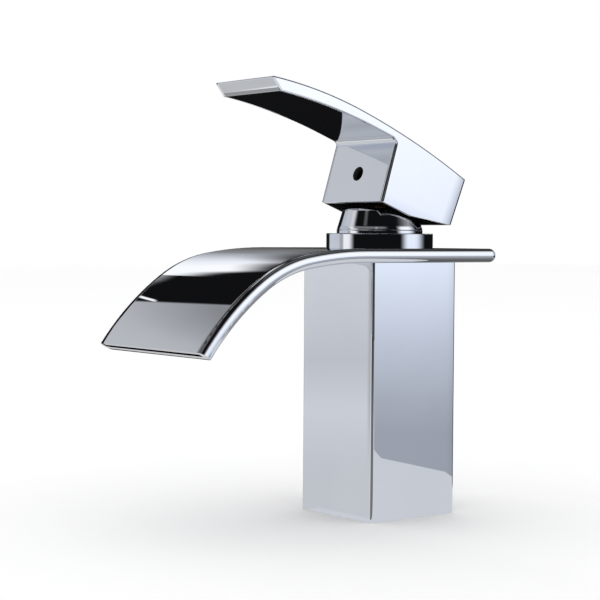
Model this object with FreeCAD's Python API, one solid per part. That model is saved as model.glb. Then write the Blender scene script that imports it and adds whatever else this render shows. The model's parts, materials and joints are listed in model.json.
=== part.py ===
import FreeCAD
import Part
import math
import os

# Single-lever waterfall basin faucet, in millimetres.
# Origin at the centre of the base, Z up, spout towards -Y, handle lifted.

V = FreeCAD.Vector
UP = V(0, 0, 1)
ACROSS = V(1, 0, 0)

# Fits and clearances
RUNNING = 0.05
SLIP = 0.2
FREE = 0.3
LOOSE = 0.7
PAST = 5.0
NEAR = 0.05

# Column, sized round the cartridge
COLUMN_HEIGHT = 105.7
COLUMN_WALL = 2.3
COLUMN_EDGE = 1.1

# Inlet block in the base
BLOCK_HEIGHT = 18.0
INLET_X = 7.8
INLET_Y = -4.0
INLET_RADIUS = 4.5
INLET_DEPTH = 11.0
PORT_RADIUS = 3.4
TUBE_RADIUS = 5.0
TUBE_WALL = 1.0
TUBE_SOCKET = 5.0
STUD_Y = 9.5
STUD_RADIUS = 3.35
STUD_DEPTH = 14.0
SEAL_MARGIN = 1.9
SEAL_WIDTH = 2.4
SEAL_DEPTH = 1.6

# Valve body
FLOOR_HEIGHT = 8.0
NUT_STEP = 0.8
NECK_WALL = 1.5
NECK_GAP = 0.1
WINDOW_WIDTH = 8.0
WINDOW_ANGLE = 35.0

# Spout
SPOUT_WIDTH = 72.6
SPOUT_THICKNESS = 5.7
SPOUT_BEHIND = 11.7
RIM_FLAT = 0.15
SPOUT_CORNER = 3.4
SPOUT_FLAT = 14.5
CURVE_RADII = (170.0, 57.0, 111.0)
CURVE_ANGLES = (9.5, 34.0, 53.6)
LIP_EXTRA = 2.0
LIP_RAKE = 0.35
CAVITY_HEIGHT = 1.8
CAVITY_RISE = 0.5
CAVITY_SIDE = 3.5
CAVITY_BACK = -10.0
CAVITY_ROUND = 0.8
GASKET_WIDTH = 1.5
GASKET_HEIGHT = 1.0
COLLAR_GASKET = 1.1

# Collar and cap
COLLAR_WALL = 2.0
COLLAR_HEIGHT = 6.1
COLLAR_WEB = 1.2
COLLAR_EDGE = 0.4
CAP_STEP = 0.9
CAP_BAND = 1.5
CAP_HEIGHT = 9.0
CAP_TAPER = 2.7
CAP_WALL = 1.4
CAP_ROUND = 1.6
CAP_RIM = 3.0

# Cartridge
CARTRIDGE_WALL = 2.3
BASE_HEIGHT = 5.0
DISC_HEIGHT = 4.5
DISC_GAP = 1.7
PORT_MARGIN = 2.3
OUTLET_Y = 7.5
OUTLET_RADIUS = 3.6
OUTLET_FLOOR = 1.5
OUTLET_ROOF = 1.0
INLET_SEAL_WIDTH = 1.4
INLET_SEAL_HEIGHT = 1.8
WEB_HEIGHT = 2.2
O_RING_HEIGHT = 1.5
O_RING_DEPTH = 1.2
NUT_HEIGHT = 3.2
NUT_HUB_RISE = 1.0
NOTCH_WIDTH = 4.0
NOTCH_DEPTH = 1.5
NOTCH_TURNS = (45.0, 135.0)

# Stem guide and lever stem
PIVOT_RISE = 0.5
GUIDE_STEP = 4.7
GUIDE_RISE = 3.0
GUIDE_FLANGE = 5.8
RAIL_WIDTH = 2.8
RAIL_LENGTH = 14.0
RAIL_DROP = 8.0
PIN_RADIUS = 1.5
PIN_RECESS = 1.0
STEM_SIDE = 7.0
ARM = 17.0
ARM_RADIUS = 2.6
ARM_CRANK = 10.0
BALL_RADIUS = 3.4
LIFT = 20.0
LIFT_EXTRA = 4.0

# Moving disc and carrier
SLIDER_STEP = 3.0
SLIDER_CUT = 1.5
SOCKET_FLOOR = 2.0
BALL_GAP = 1.6
MOUTH_FLARE = 1.5
MOUTH_DEPTH = 2.0
MIX_WALL = 1.9
MIX_FRONT = -3.5
MIX_DEPTH = 2.2

# Handle, drawn lowered
SIDE_GAP = 2.3
FRONT_GAP = 1.9
FRONT_LEAN = 1.2
BACK_GAP = 3.2
BACK_LEAN = 1.1
HANDLE_RISE = 6.5
HANDLE_HEIGHT = 25.3
RELIEF_START = -2.0
RELIEF_RISE = 4.3
RELIEF_ROUND = 13.2
LEVER_LENGTH = 67.3
TIP_SLANT = 6.1
TIP_HEIGHT = 3.8
TOP_REACH = 20.7
TOP_ARCH = 5.3
UNDER_REACH = 9.7
UNDER_ARCH = 1.4
HANDLE_EDGE = 0.45
ROOT_ROUND = 2.2
TIP_ROUND = 0.5
HANDLE_WALL = 1.8
HANDLE_ROOF = 3.0
BOSS_RADIUS = 7.4
STEM_COVER = 6.8
STEM_GRIP = 10.0
SCREW_DROP = 6.3
SCREW_HOLE = 3.0
SCREW_RADIUS = 2.5
SCREW_LENGTH = 6.0
SCREW_KEY = 2.5

# Levels and sizes that follow
DISC_RADIUS = INLET_X + PORT_RADIUS + PORT_MARGIN
INNER_RADIUS = DISC_RADIUS + DISC_GAP
CARTRIDGE_RADIUS = INNER_RADIUS + CARTRIDGE_WALL
CHAMBER_RADIUS = CARTRIDGE_RADIUS + LOOSE
NUT_RADIUS = CHAMBER_RADIUS + NUT_STEP
NECK_RADIUS = NUT_RADIUS + NECK_WALL
TUBE_HALF = NECK_RADIUS
COLUMN_SIDE = 2 * (TUBE_HALF + COLUMN_WALL)
COLLAR_RADIUS = NECK_RADIUS + COLLAR_WALL
CAP_RADIUS = NUT_RADIUS - CAP_STEP
CAP_TOP_RADIUS = CAP_RADIUS - CAP_TAPER
CAP_OPENING = CAP_TOP_RADIUS - CAP_RIM
GUIDE_NECK = INNER_RADIUS - GUIDE_STEP
SLIDER_RADIUS = DISC_RADIUS - SLIDER_STEP
SLIDER_FLAT = SLIDER_RADIUS - SLIDER_CUT
MIX_RADIUS = SLIDER_RADIUS - MIX_WALL
SEAL_RADIUS = TUBE_HALF - SEAL_MARGIN - SEAL_WIDTH / 2
SPOUT_BACK = COLUMN_SIDE / 2 + SPOUT_BEHIND
CURVE_START = -COLUMN_SIDE / 2 - SPOUT_FLAT
SPOUT_TOP = COLUMN_HEIGHT + SPOUT_THICKNESS
CAVITY_MIDDLE = SPOUT_THICKNESS / 2 - CAVITY_RISE
SPOUT_EDGE = SPOUT_THICKNESS / 2 - RIM_FLAT
SPOUT_HOLE = NECK_RADIUS + SLIP
COLLAR_TOP = SPOUT_TOP + COLLAR_HEIGHT
NECK_TOP = COLLAR_TOP - COLLAR_WEB - NECK_GAP
CAP_BAND_TOP = COLLAR_TOP + CAP_BAND
CAP_TOP = CAP_BAND_TOP + CAP_HEIGHT
NUT_HUB_TOP = CAP_BAND_TOP + NUT_HUB_RISE
SHOULDER = NECK_TOP - NUT_HEIGHT
WEB_BOTTOM = SHOULDER - WEB_HEIGHT
PIVOT = COLLAR_TOP + PIVOT_RISE
GUIDE_TOP = PIVOT + GUIDE_RISE
GUIDE_BOTTOM = WEB_BOTTOM - GUIDE_FLANGE
CARRIER_TOP = GUIDE_BOTTOM - LOOSE
SLIDER_TOP = PIVOT - ARM - BALL_RADIUS - BALL_GAP - SOCKET_FLOOR
DISC_TOP = SLIDER_TOP - DISC_HEIGHT
BASE_TOP = DISC_TOP - DISC_HEIGHT
VALVE_FLOOR = BASE_TOP - BASE_HEIGHT
VALVE_BOTTOM = VALVE_FLOOR - FLOOR_HEIGHT
SLIDER_Y = -ARM * math.sin(math.radians(LIFT - ARM_CRANK))
HUB_RADIUS = CAP_RADIUS - CAP_WALL
BLADE = STEM_SIDE + FREE
HANDLE_WIDTH = 2 * (CAP_TOP_RADIUS + SIDE_GAP + HANDLE_WALL)
HANDLE_BACK = CAP_TOP_RADIUS + BACK_GAP + HANDLE_WALL
FRONT_LOW = -CAP_TOP_RADIUS - FRONT_GAP - HANDLE_WALL
FRONT_HIGH = FRONT_LOW - FRONT_LEAN
BACK_HIGH = HANDLE_BACK + BACK_LEAN
HANDLE_BOTTOM = PIVOT + HANDLE_RISE
TOP_BACK = HANDLE_BOTTOM + HANDLE_HEIGHT
TOP_APEX = (FRONT_HIGH - TOP_REACH, TOP_BACK + TOP_ARCH)
TIP_TOP = (FRONT_HIGH - LEVER_LENGTH, TOP_BACK)
TIP_BOTTOM = (TIP_TOP[0] + TIP_SLANT, TOP_BACK - TIP_HEIGHT)
UNDER_APEX = (FRONT_HIGH - UNDER_REACH, TOP_BACK + UNDER_ARCH)
STEM_TOP = TOP_BACK - STEM_COVER
BOSS_BOTTOM = STEM_TOP - STEM_GRIP
SCREW_HEIGHT = STEM_TOP - SCREW_DROP


def box(x0, x1, y0, y1, z0, z1):
    return Part.makeBox(x1 - x0, y1 - y0, z1 - z0, V(x0, y0, z0))


def rod(radius, z0, z1, x=0.0, y=0.0):
    return Part.makeCylinder(radius, z1 - z0, V(x, y, z0), UP)


def ring(outer, inner, z0, z1, x=0.0, y=0.0):
    return rod(outer, z0, z1, x, y).cut(rod(inner, z0, z1, x, y))


def square(side, z0, z1, edge):
    block = box(-side / 2, side / 2, -side / 2, side / 2, z0, z1)
    upright = [e for e in block.Edges if abs(e.tangentAt(e.FirstParameter).z) > 0.9]
    return block.makeFillet(edge, upright)


def turned(points):
    wire = Part.makePolygon([V(r, 0, z) for r, z in points + points[:1]])
    return Part.Face(wire).revolve(V(0, 0, 0), UP, 360)


def lifted(shape):
    shape.rotate(V(0, 0, PIVOT), ACROSS, -LIFT)
    return shape


def body_column():
    outer = square(COLUMN_SIDE, 0, COLUMN_HEIGHT, COLUMN_EDGE)
    return outer.cut(square(2 * TUBE_HALF, 0, COLUMN_HEIGHT, COLUMN_EDGE))


def inlet_block():
    block = square(2 * TUBE_HALF, 0, BLOCK_HEIGHT, COLUMN_EDGE)
    cuts = [ring_groove(), rod(STUD_RADIUS, 0, STUD_DEPTH, 0, STUD_Y)]
    for x in (-INLET_X, INLET_X):
        cuts.append(rod(INLET_RADIUS, 0, INLET_DEPTH, x, INLET_Y))
        cuts.append(rod(PORT_RADIUS, 0, BLOCK_HEIGHT, x, INLET_Y))
        cuts.append(rod(TUBE_RADIUS, BLOCK_HEIGHT - TUBE_SOCKET, BLOCK_HEIGHT, x, INLET_Y))
    return block.cut(cuts)


def ring_groove():
    half = SEAL_WIDTH / 2
    return ring(SEAL_RADIUS + half, SEAL_RADIUS - half, 0, SEAL_DEPTH)


def riser_tube(x):
    low = BLOCK_HEIGHT - TUBE_SOCKET
    high = VALVE_BOTTOM + TUBE_SOCKET
    return ring(TUBE_RADIUS, TUBE_RADIUS - TUBE_WALL, low, high, x, INLET_Y)


def valve_body():
    block = square(2 * TUBE_HALF, VALVE_BOTTOM, COLUMN_HEIGHT, COLUMN_EDGE)
    block = block.fuse(rod(NECK_RADIUS, COLUMN_HEIGHT, NECK_TOP))
    cuts = [rod(CHAMBER_RADIUS, VALVE_FLOOR, NECK_TOP), rod(NUT_RADIUS, SHOULDER, NECK_TOP)]
    for x in (-INLET_X, INLET_X):
        cuts.append(rod(TUBE_RADIUS, VALVE_BOTTOM, VALVE_BOTTOM + TUBE_SOCKET, x, INLET_Y))
        cuts.append(rod(PORT_RADIUS, VALVE_BOTTOM, VALVE_FLOOR, x, INLET_Y))
    for angle in (-WINDOW_ANGLE, 0, WINDOW_ANGLE):
        cuts.append(window(angle))
    return block.cut(cuts).removeSplitter()


def window(angle):
    half = CAVITY_HEIGHT / 2
    side = WINDOW_WIDTH / 2
    inner = NUT_RADIUS - 2 * NECK_WALL
    level = SPOUT_TOP - CAVITY_MIDDLE
    slot = box(-side, side, -NECK_RADIUS - PAST, -inner, level - half, level + half)
    slot.rotate(V(0, 0, 0), UP, angle)
    return slot


def curve_edges(depth, start, extra):
    y = CURVE_START
    z = SPOUT_TOP
    angle = 0.0
    edges = [Part.makeLine(V(0, start, z - depth), V(0, y, z - depth))]
    for radius, end in zip(CURVE_RADII, CURVE_ANGLES):
        stop = end + (extra if end == CURVE_ANGLES[-1] else 0)
        cy = y + radius * math.sin(math.radians(angle))
        cz = z - radius * math.cos(math.radians(angle))
        points = []
        reach = radius - depth
        for a in (angle, (angle + stop) / 2, stop):
            turn = math.radians(a)
            points.append(V(0, cy - reach * math.sin(turn), cz + reach * math.cos(turn)))
        edges.append(Part.Arc(*points).toShape())
        y = cy - radius * math.sin(math.radians(end))
        z = cz + radius * math.cos(math.radians(end))
        angle = end
    return edges


def sheet(top, bottom, start, width, extra=0.0, rake=0.0):
    upper = curve_edges(top, start, extra + rake)
    lower = curve_edges(bottom, start, extra)
    lip = Part.makeLine(upper[-1].Vertexes[-1].Point, lower[-1].Vertexes[-1].Point)
    back = Part.makeLine(upper[0].Vertexes[0].Point, lower[0].Vertexes[0].Point)
    wire = Part.Wire(Part.__sortEdges__(upper + [lip] + lower + [back]))
    solid = Part.Face(wire).extrude(V(width, 0, 0))
    solid.translate(V(-width / 2, 0, 0))
    return solid


def spout_blank():
    solid = sheet(0, SPOUT_THICKNESS, SPOUT_BACK, SPOUT_WIDTH, 0, LIP_RAKE)
    corners = [e for e in solid.Edges if e.BoundBox.YMin > SPOUT_BACK - NEAR and e.BoundBox.XLength < NEAR]
    solid = solid.makeFillet(SPOUT_CORNER, corners)
    return solid.makeFillet(SPOUT_EDGE, [e for e in solid.Edges if on_rim(e)])


def on_rim(edge):
    span = edge.BoundBox
    if span.YMin > SPOUT_BACK - SPOUT_CORNER - NEAR:
        return span.ZLength < NEAR
    return span.XLength < NEAR and edge.Length > 2 * SPOUT_THICKNESS


def spout_cavity():
    half = CAVITY_HEIGHT / 2
    width = SPOUT_WIDTH - 2 * CAVITY_SIDE
    solid = sheet(CAVITY_MIDDLE - half, CAVITY_MIDDLE + half, CAVITY_BACK, width, LIP_EXTRA)
    sides = [e for e in solid.Edges if e.BoundBox.XLength < NEAR and e.Length > 2 * CAVITY_HEIGHT]
    return solid.makeFillet(CAVITY_ROUND, sides)


def spout_half(blank, top, bottom):
    zone = sheet(top, bottom, SPOUT_BACK + PAST, SPOUT_WIDTH + 2 * PAST, LIP_EXTRA)
    half = blank.common(zone).cut(spout_cavity())
    return half.cut(rod(SPOUT_HOLE, COLUMN_HEIGHT - PAST, SPOUT_TOP + PAST))


def spout_lower_shell(blank):
    half = spout_half(blank, SPOUT_THICKNESS / 2, SPOUT_THICKNESS + PAST)
    return half.cut(rod(SPOUT_HOLE + GASKET_WIDTH, COLUMN_HEIGHT - PAST, COLUMN_HEIGHT + GASKET_HEIGHT))


def spout_upper_shell(blank):
    return spout_half(blank, -PAST, SPOUT_THICKNESS / 2)


def neck_gasket():
    return ring(SPOUT_HOLE + GASKET_WIDTH, NECK_RADIUS, COLUMN_HEIGHT, COLUMN_HEIGHT + GASKET_HEIGHT)


def collar_gasket():
    return ring(NECK_RADIUS + COLLAR_GASKET, NECK_RADIUS, SPOUT_TOP, SPOUT_TOP + GASKET_HEIGHT)


def collar_ring():
    solid = rod(COLLAR_RADIUS, SPOUT_TOP, COLLAR_TOP)
    rim = [e for e in solid.Edges if e.BoundBox.ZMin > COLLAR_TOP - NEAR]
    solid = solid.makeFillet(COLLAR_EDGE, rim)
    thread = rod(NECK_RADIUS, SPOUT_TOP, COLLAR_TOP - COLLAR_WEB)
    seat = rod(NECK_RADIUS + COLLAR_GASKET, SPOUT_TOP, SPOUT_TOP + GASKET_HEIGHT)
    return solid.cut([thread, seat, rod(CAP_RADIUS + FREE, SPOUT_TOP, COLLAR_TOP)])


def retaining_nut():
    solid = rod(NUT_RADIUS, SHOULDER, NECK_TOP)
    solid = solid.fuse(rod(HUB_RADIUS, NECK_TOP, NUT_HUB_TOP))
    cuts = [rod(GUIDE_NECK + LOOSE, SHOULDER, NUT_HUB_TOP)]
    half = NOTCH_WIDTH / 2
    for turn in NOTCH_TURNS:
        notch = box(-NUT_RADIUS, NUT_RADIUS, -half, half, NUT_HUB_TOP - NOTCH_DEPTH, NUT_HUB_TOP)
        notch.rotate(V(0, 0, 0), UP, turn)
        cuts.append(notch)
    return solid.cut(cuts).removeSplitter()


def dome_cover():
    slope = CAP_RADIUS - CAP_TOP_RADIUS
    outline = [(0, NECK_TOP), (CAP_RADIUS, NECK_TOP), (CAP_RADIUS, CAP_BAND_TOP)]
    outline += [(CAP_TOP_RADIUS, CAP_TOP), (0, CAP_TOP)]
    solid = turned(outline)
    rim = [e for e in solid.Edges if e.BoundBox.ZMin > CAP_TOP - NEAR and e.Length > CAP_ROUND]
    solid = solid.makeFillet(CAP_ROUND, rim)
    inside = [(0, NECK_TOP), (HUB_RADIUS, NECK_TOP), (HUB_RADIUS, NUT_HUB_TOP)]
    inside += [(HUB_RADIUS - slope, CAP_TOP - CAP_WALL), (0, CAP_TOP - CAP_WALL)]
    return solid.cut([turned(inside), rod(CAP_OPENING, CAP_TOP - 2 * CAP_WALL, CAP_TOP + PAST)])


def inlet_pockets():
    outer = PORT_RADIUS + INLET_SEAL_WIDTH
    top = VALVE_FLOOR + INLET_SEAL_HEIGHT
    return [rod(outer, VALVE_FLOOR, top, x, INLET_Y) for x in (-INLET_X, INLET_X)]


def cartridge_base():
    solid = rod(CARTRIDGE_RADIUS, VALVE_FLOOR, BASE_TOP)
    cuts = inlet_pockets()
    for x in (-INLET_X, INLET_X):
        cuts.append(rod(PORT_RADIUS, VALVE_FLOOR, BASE_TOP, x, INLET_Y))
    low = VALVE_FLOOR + OUTLET_FLOOR
    side = OUTLET_RADIUS
    cuts.append(rod(OUTLET_RADIUS, low, BASE_TOP, 0, OUTLET_Y))
    cuts.append(box(-side, side, OUTLET_Y, CARTRIDGE_RADIUS + PAST, low, BASE_TOP - OUTLET_ROOF))
    return solid.cut(cuts)


def cartridge_inlet_seals():
    low, high = VALVE_FLOOR, VALVE_FLOOR + INLET_SEAL_HEIGHT
    outer = PORT_RADIUS + INLET_SEAL_WIDTH
    return Part.makeCompound([ring(outer, PORT_RADIUS, low, high, x, INLET_Y) for x in (-INLET_X, INLET_X)])


def fixed_ceramic_disc():
    solid = rod(DISC_RADIUS, BASE_TOP, DISC_TOP)
    cuts = [rod(PORT_RADIUS, BASE_TOP, DISC_TOP, x, INLET_Y) for x in (-INLET_X, INLET_X)]
    return solid.cut(cuts + [rod(OUTLET_RADIUS, BASE_TOP, DISC_TOP, 0, OUTLET_Y)])


def cartridge_housing():
    solid = ring(CARTRIDGE_RADIUS, INNER_RADIUS, BASE_TOP, WEB_BOTTOM)
    solid = solid.fuse(ring(CARTRIDGE_RADIUS, GUIDE_NECK + RUNNING, WEB_BOTTOM, SHOULDER))
    return solid.cut(o_ring_groove(CARTRIDGE_RADIUS)).removeSplitter()


def o_ring_groove(outer):
    low = WEB_BOTTOM + (WEB_HEIGHT - O_RING_HEIGHT) / 2
    return ring(outer, CARTRIDGE_RADIUS - O_RING_DEPTH, low, low + O_RING_HEIGHT)


def cartridge_o_ring():
    return o_ring_groove(CHAMBER_RADIUS)


def stem_guide():
    solid = rod(INNER_RADIUS - FREE, GUIDE_BOTTOM, WEB_BOTTOM)
    solid = solid.fuse(rod(GUIDE_NECK, WEB_BOTTOM, GUIDE_TOP))
    rail = SLIDER_FLAT + RUNNING
    for x in (-rail - RAIL_WIDTH, rail):
        half = RAIL_LENGTH / 2
        solid = solid.fuse(box(x, x + RAIL_WIDTH, -half, half, GUIDE_BOTTOM - RAIL_DROP, GUIDE_BOTTOM))
    swing = (PIVOT - GUIDE_BOTTOM) * math.tan(math.radians(LIFT - ARM_CRANK + LIFT_EXTRA)) + STEM_SIDE / 2
    slot = box(-BLADE / 2, BLADE / 2, -swing, swing, GUIDE_BOTTOM, GUIDE_TOP)
    return solid.cut([slot, pin(GUIDE_NECK)]).removeSplitter()


def pin(half):
    return Part.makeCylinder(PIN_RADIUS, 2 * half, V(-half, 0, PIVOT), ACROSS)


def pivot_pin():
    return pin(GUIDE_NECK - PIN_RECESS)


def lever_stem():
    half = STEM_SIDE / 2
    blade = box(-half, half, -half, half, PIVOT, STEM_TOP)
    blade = blade.fuse(Part.makeCylinder(half, STEM_SIDE, V(-half, 0, PIVOT), ACROSS))
    turn = math.radians(ARM_CRANK)
    along = V(0, math.sin(turn), -math.cos(turn))
    centre = V(0, 0, PIVOT) + along * ARM
    arm = Part.makeCylinder(ARM_RADIUS, ARM, V(0, 0, PIVOT), along)
    stem = blade.fuse([arm, Part.makeSphere(BALL_RADIUS, centre)])
    hole = Part.makeCylinder(PIN_RADIUS + RUNNING, 2 * STEM_SIDE, V(-STEM_SIDE, 0, PIVOT), ACROSS)
    return lifted(stem.cut(hole).removeSplitter())


def slider_blank(z0, z1):
    return rod(SLIDER_RADIUS, z0, z1, 0, SLIDER_Y)


def moving_ceramic_disc():
    pocket = rod(MIX_RADIUS, DISC_TOP, DISC_TOP + MIX_DEPTH, 0, SLIDER_Y)
    front = SLIDER_Y + MIX_FRONT
    pocket = pocket.cut(box(-MIX_RADIUS, MIX_RADIUS, front - MIX_RADIUS, front, DISC_TOP, SLIDER_TOP))
    return slider_blank(DISC_TOP, SLIDER_TOP).cut(pocket)


def disc_carrier():
    solid = slider_blank(SLIDER_TOP, CARRIER_TOP)
    near = SLIDER_Y - SLIDER_RADIUS
    far = SLIDER_Y + SLIDER_RADIUS
    solid = solid.common(box(-SLIDER_FLAT, SLIDER_FLAT, near, far, SLIDER_TOP, CARRIER_TOP))
    bore = BALL_RADIUS + RUNNING
    socket = rod(bore, SLIDER_TOP + SOCKET_FLOOR, CARRIER_TOP, 0, SLIDER_Y)
    rim = V(0, SLIDER_Y, CARRIER_TOP - MOUTH_DEPTH)
    mouth = Part.makeCone(bore, bore + MOUTH_FLARE, MOUTH_DEPTH, rim, UP)
    return solid.cut([socket, mouth])


def arch(apex, end):
    drop = apex[1] - end[1]
    reach = end[0] - apex[0]
    radius = (reach ** 2 + drop ** 2) / (2 * drop)
    half = math.asin(reach / radius) / 2
    middle = V(0, apex[0] + radius * math.sin(half), apex[1] - radius * (1 - math.cos(half)))
    return Part.Arc(V(0, *apex), middle, V(0, *end)).toShape()


def line(start, end):
    return Part.makeLine(V(0, *start), V(0, *end))


def handle_outline():
    root = (FRONT_HIGH, UNDER_APEX[1])
    top_back = (BACK_HIGH, TOP_BACK)
    low_back = (HANDLE_BACK, HANDLE_BOTTOM + RELIEF_RISE)
    bend = (RELIEF_START, HANDLE_BOTTOM)
    low_front = (FRONT_LOW, HANDLE_BOTTOM)
    under = [line(root, UNDER_APEX), arch(UNDER_APEX, TIP_BOTTOM), line(TIP_BOTTOM, TIP_TOP)]
    top = [arch(TOP_APEX, TIP_TOP), arch(TOP_APEX, top_back)]
    block = [line(top_back, low_back), line(low_back, bend), line(bend, low_front), line(low_front, root)]
    return under + top + block


def handle_blank():
    solid = Part.Face(Part.Wire(handle_outline())).extrude(V(HANDLE_WIDTH, 0, 0))
    solid.translate(V(-HANDLE_WIDTH / 2, 0, 0))
    solid = solid.makeFillet(ROOT_ROUND, across_edges(solid, FRONT_HIGH, UNDER_APEX[1]))
    solid = solid.makeFillet(TIP_ROUND, across_edges(solid, *TIP_BOTTOM))
    solid = solid.makeFillet(RELIEF_ROUND, across_edges(solid, RELIEF_START, HANDLE_BOTTOM))
    rim = [e for e in solid.Edges if e.BoundBox.XLength < NEAR]
    rim += across_edges(solid, *TIP_TOP) + across_edges(solid, BACK_HIGH, TOP_BACK)
    return solid.makeFillet(HANDLE_EDGE, rim)


def across_edges(solid, y, z):
    found = []
    for edge in solid.Edges:
        end = edge.BoundBox
        if end.XLength > TIP_ROUND and abs(end.Center.y - y) < NEAR and abs(end.Center.z - z) < NEAR:
            found.append(edge)
    return found


def handle_cavity():
    half = HANDLE_WIDTH / 2 - HANDLE_WALL
    front = FRONT_LOW + HANDLE_WALL
    back = HANDLE_BACK - HANDLE_WALL
    low = HANDLE_BOTTOM - PAST
    points = [(front, low), (back, low), (back, TOP_BACK - HANDLE_ROOF)]
    points.append((front, UNDER_APEX[1] - HANDLE_WALL))
    wire = Part.makePolygon([V(-half, y, z) for y, z in points + points[:1]])
    return Part.Face(wire).extrude(V(2 * half, 0, 0))


def handle():
    side = STEM_SIDE / 2
    boss = rod(BOSS_RADIUS, BOSS_BOTTOM, TOP_BACK)
    pocket = handle_cavity().cut(boss)
    socket = box(-side, side, -side, side, BOSS_BOTTOM - PAST, STEM_TOP)
    entry = front_rod(SCREW_HOLE, PAST - FRONT_HIGH, -FRONT_LOW - 2 * HANDLE_WALL)
    thread = front_rod(SCREW_RADIUS, BOSS_RADIUS + FREE, side)
    return lifted(handle_blank().cut([pocket, socket, entry, thread]).removeSplitter())


def front_rod(radius, outer, inner):
    return Part.makeCylinder(radius, outer - inner, V(0, -outer, SCREW_HEIGHT), V(0, 1, 0))


def set_screw():
    side = STEM_SIDE / 2
    screw = front_rod(SCREW_RADIUS, side + SCREW_LENGTH, side)
    key = Part.makePolygon(hexagon(-side - SCREW_LENGTH))
    return lifted(screw.cut(Part.Face(key).extrude(V(0, SCREW_LENGTH / 2, 0))))


def hexagon(y):
    reach = SCREW_KEY / math.sqrt(3)
    points = []
    for step in range(7):
        turn = math.radians(60 * step)
        points.append(V(reach * math.sin(turn), y, SCREW_HEIGHT + reach * math.cos(turn)))
    return points


def base_seal():
    return ring_groove()


def main():
    blank = spout_blank()
    nodes = {
        "body_column": body_column(),
        "inlet_block": inlet_block(),
        "base_seal": base_seal(),
        "hot_riser_tube": riser_tube(-INLET_X),
        "cold_riser_tube": riser_tube(INLET_X),
        "valve_body": valve_body(),
        "spout_lower_shell": spout_lower_shell(blank),
        "spout_upper_shell": spout_upper_shell(blank),
        "neck_gasket": neck_gasket(),
        "collar_gasket": collar_gasket(),
        "collar_ring": collar_ring(),
        "retaining_nut": retaining_nut(),
        "dome_cover": dome_cover(),
        "cartridge_base": cartridge_base(),
        "cartridge_inlet_seals": cartridge_inlet_seals(),
        "fixed_ceramic_disc": fixed_ceramic_disc(),
        "cartridge_housing": cartridge_housing(),
        "cartridge_o_ring": cartridge_o_ring(),
        "stem_guide": stem_guide(),
        "pivot_pin": pivot_pin(),
        "lever_stem": lever_stem(),
        "moving_ceramic_disc": moving_ceramic_disc(),
        "disc_carrier": disc_carrier(),
        "handle": handle(),
        "set_screw": set_screw(),
    }
    os.makedirs("parts", exist_ok=True)
    for name, shape in nodes.items():
        shape.exportStep("parts/" + name + ".step")


main()
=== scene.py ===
# %% [markdown]
# A chrome basin faucet with one lever and a wide waterfall spout.
# The solids come in as a fixed frame, in metres, so every size below is read from it.
# The lesson goes from the camera to the studio, then to the finishes, then to the pieces.

# %% Load the frame
import json
import math

import bpy
from mathutils import Matrix, Vector


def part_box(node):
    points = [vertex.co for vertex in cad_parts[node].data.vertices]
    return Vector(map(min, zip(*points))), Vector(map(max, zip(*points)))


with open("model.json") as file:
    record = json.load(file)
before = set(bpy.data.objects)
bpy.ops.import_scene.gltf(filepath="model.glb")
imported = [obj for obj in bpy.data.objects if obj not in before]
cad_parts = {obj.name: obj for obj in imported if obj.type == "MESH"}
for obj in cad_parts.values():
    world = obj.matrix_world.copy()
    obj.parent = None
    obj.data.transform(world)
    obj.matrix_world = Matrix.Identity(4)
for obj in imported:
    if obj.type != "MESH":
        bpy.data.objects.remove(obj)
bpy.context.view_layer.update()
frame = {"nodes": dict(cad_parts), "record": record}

scene = bpy.context.scene
MM = 0.001
for start_object in ("Cube", "Light", "Camera"):
    if start_object in bpy.data.objects:
        bpy.data.objects.remove(bpy.data.objects[start_object])

# %% [markdown]
# The camera stands to the right of the spout, a little above the spout plate, with a long lens.
# A long lens keeps the column's upright edges nearly parallel, as they are in a product picture.
# The turn, the tilt and the small roll are set as angles, and the three axes follow from them.

# %% Camera
CAMERA_PLACE = Vector((0.51959, -0.44912, 0.11528))
CAMERA_TURN = math.radians(-51.946)
CAMERA_TILT = math.radians(-2.178)
CAMERA_ROLL = math.radians(0.35)
SENSOR = 36.0
FOCAL_PIXELS = 1623.8
IMAGE_PIXELS = 600


def camera_axes(turn, tilt, roll):
    ahead = Vector((math.sin(turn) * math.cos(tilt), math.cos(turn) * math.cos(tilt), math.sin(tilt)))
    right = Vector((math.cos(turn), -math.sin(turn), 0))
    up = right.cross(ahead)
    rolled_right = math.cos(roll) * right + math.sin(roll) * up
    rolled_up = math.cos(roll) * up - math.sin(roll) * right
    return rolled_right, rolled_up, -ahead


lens = bpy.data.cameras.new("portrait_lens")
lens.sensor_width = SENSOR
lens.lens = FOCAL_PIXELS * SENSOR / IMAGE_PIXELS
camera = bpy.data.objects.new("camera", lens)
turned = Matrix(camera_axes(CAMERA_TURN, CAMERA_TILT, CAMERA_ROLL)).transposed()
camera.matrix_world = Matrix.Translation(CAMERA_PLACE) @ turned.to_4x4()
scene.collection.objects.link(camera)
scene.camera = camera
print("lens", round(lens.lens, 2), "mm at", [round(v, 3) for v in camera.location])

# %% [markdown]
# Polished chrome has almost no colour of its own and shows the room round it.
# The room here is a white studio: the world is white where the camera and mirrors look,
# and it lights matt surfaces from all sides.
# The Light Path node tells these rays apart.

# %% White studio room
SOFT_LIGHT = 1.03


def node(tree, kind, **values):
    made = tree.nodes.new(kind)
    for name, value in values.items():
        setattr(made, name, value)
    return made


def maths(tree, operation, first, second=0.0):
    made = node(tree, "ShaderNodeMath", operation=operation)
    for socket, value in zip(made.inputs, (first, second)):
        if isinstance(value, (int, float)):
            socket.default_value = value
        else:
            tree.links.new(value, socket)
    return made.outputs[0]


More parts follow.
